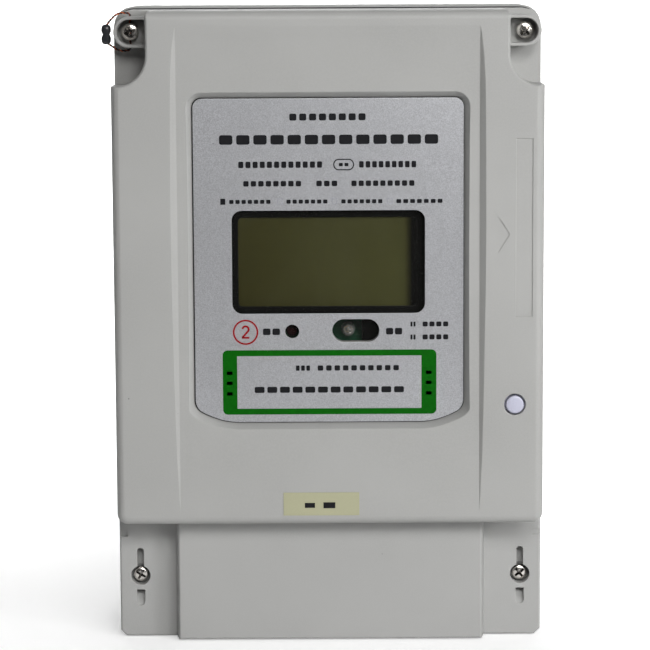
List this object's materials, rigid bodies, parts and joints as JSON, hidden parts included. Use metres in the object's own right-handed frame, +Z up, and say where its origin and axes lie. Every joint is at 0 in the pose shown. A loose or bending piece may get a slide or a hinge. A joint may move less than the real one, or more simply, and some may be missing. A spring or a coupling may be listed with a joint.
{
  "type": "prepaid electricity meter",
  "caption": "Wall-mounted prepaid electricity meter: sealed cover with display window, card area and push button above a screwed terminal cover.",
  "frame": {"origin": "middle of the flat back that lies on the wall", "axes": "+Z up, -Y out of the wall towards the reader, +X to the reader's right"},
  "size_m": [0.1781, 0.0767, 0.259],
  "materials": {
    "case_grey": "fine grained moulding",
    "dark_moulding": "satin thermoset",
    "black_plastic": "satin",
    "button_white": "smooth",
    "plate_silver": "speckled silver print",
    "clear_sheet": "clear sheet",
    "display_olive": "unlit display",
    "sticker_khaki": "paper label",
    "nickel_steel": "nickel plate",
    "brass": "turned",
    "copper": "lacquered wire",
    "rubber": "soft",
    "board_green": "solder mask",
    "red_lens": "tinted lens"
  },
  "bodies": {
    "meter_frame": {"base": "case_grey", "cover_gasket": "rubber", "hanging_plate": "nickel_steel", "button_switch": "black_plastic", "main_board": "board_green", "display_frame": "black_plastic", "display_backlight": "button_white", "display_glass": "display_olive", "pulse_lamp": "red_lens", "infrared_emitter": "clear_sheet", "infrared_receiver": "black_plastic", "card_antenna": "copper", "backup_battery": "black_plastic", "storage_capacitor": "black_plastic", "power_transformer": "dark_moulding", "microcontroller": "black_plastic", "relay_case": "dark_moulding", "relay_coil": "copper", "terminal_block": "dark_moulding", "current_transformer_1": "dark_moulding", "current_transformer_2": "dark_moulding", "current_transformer_3": "dark_moulding", "terminal_clamp_1": "brass", "terminal_screw_1": "brass", "terminal_clamp_2": "brass", "terminal_screw_2": "brass", "terminal_clamp_3": "brass", "terminal_screw_3": "brass", "terminal_clamp_4": "brass", "terminal_screw_4": "brass", "terminal_clamp_5": "brass", "terminal_screw_5": "brass", "terminal_clamp_6": "brass", "terminal_screw_6": "brass", "terminal_clamp_7": "brass", "terminal_screw_7": "brass", "terminal_clamp_8": "brass", "terminal_screw_8": "brass", "board_screw_1": "nickel_steel", "board_screw_2": "nickel_steel", "board_screw_3": "nickel_steel", "board_screw_4": "nickel_steel"},
    "relay_armature": {"relay_armature": "nickel_steel"},
    "relay_pusher": {"relay_pusher": "button_white"},
    "relay_contact_arm_1": {"relay_contact_arm_1": "copper"},
    "relay_contact_arm_2": {"relay_contact_arm_2": "copper"},
    "relay_contact_arm_3": {"relay_contact_arm_3": "copper"},
    "switch_plunger": {"switch_plunger": "black_plastic"},
    "push_button": {"push_button": "button_white"},
    "main_cover": {"main_cover": "case_grey", "faceplate": "plate_silver", "window_pane": "clear_sheet", "type_sticker": "sticker_khaki", "cover_seal_screw_left": "nickel_steel", "cover_seal_screw_right": "nickel_steel", "seal_wire": "copper", "seal_body": "black_plastic"},
    "terminal_cover": {"terminal_cover": "case_grey"},
    "terminal_cover_screw_left": {"terminal_cover_screw_left": "nickel_steel"},
    "terminal_cover_screw_right": {"terminal_cover_screw_right": "nickel_steel"}
  },
  "joints": [
    {"name": "main_cover_lift", "type": "slide", "parent": "meter_frame", "child": "main_cover", "axis": [0, -1, 0], "range_m": [0, 0.06]},
    {"name": "button_press", "type": "slide", "parent": "main_cover", "child": "push_button", "axis": [0, 1, 0], "range_m": [0, 0.0006], "stiffness_N_per_m": 600, "springref_m": -0.0006},
    {"name": "switch_press", "type": "slide", "parent": "meter_frame", "child": "switch_plunger", "axis": [0, 1, 0], "range_m": [0, 0.0006]},
    {"name": "terminal_cover_lift", "type": "slide", "parent": "meter_frame", "child": "terminal_cover", "axis": [0, -1, 0], "range_m": [0, 0.05]},
    {"name": "left_cover_screw_turn", "type": "hinge", "parent": "terminal_cover", "child": "terminal_cover_screw_left", "pos_m": [-0.0783, -0.0483, -0.1037], "axis": [0, -1, 0], "continuous": true},
    {"name": "right_cover_screw_turn", "type": "hinge", "parent": "terminal_cover", "child": "terminal_cover_screw_right", "pos_m": [0.0783, -0.0483, -0.1037], "axis": [0, -1, 0], "continuous": true},
    {"name": "relay_switching", "type": "slide", "parent": "meter_frame", "child": "relay_pusher", "axis": [1, 0, 0], "range_m": [0, 0.0016]},
    {"name": "armature_rock", "type": "hinge", "parent": "meter_frame", "child": "relay_armature", "pos_m": [-0.024, -0.015, -0.012], "axis": [0, 1, 0], "range_deg": [-10.3, 0]},
    {"name": "contact_arm_1_swing", "type": "hinge", "parent": "meter_frame", "child": "relay_contact_arm_1", "pos_m": [-0.008, -0.015, -0.036], "axis": [0, 1, 0], "range_deg": [0, 6.2]},
    {"name": "contact_arm_2_swing", "type": "hinge", "parent": "meter_frame", "child": "relay_contact_arm_2", "pos_m": [0.014, -0.015, -0.036], "axis": [0, 1, 0], "range_deg": [0, 6.2]},
    {"name": "contact_arm_3_swing", "type": "hinge", "parent": "meter_frame", "child": "relay_contact_arm_3", "pos_m": [0.036, -0.015, -0.036], "axis": [0, 1, 0], "range_deg": [0, 6.2]}
  ],
  "couplings": [
    {"joint": "switch_press", "follows": "button_press", "ratio": 1},
    {"joint": "armature_rock", "follows": "relay_switching", "rad_per_m": -111.11},
    {"joint": "contact_arm_1_swing", "follows": "relay_switching", "rad_per_m": 66.667},
    {"joint": "contact_arm_2_swing", "follows": "relay_switching", "rad_per_m": 66.667},
    {"joint": "contact_arm_3_swing", "follows": "relay_switching", "rad_per_m": 66.667}
  ]
}
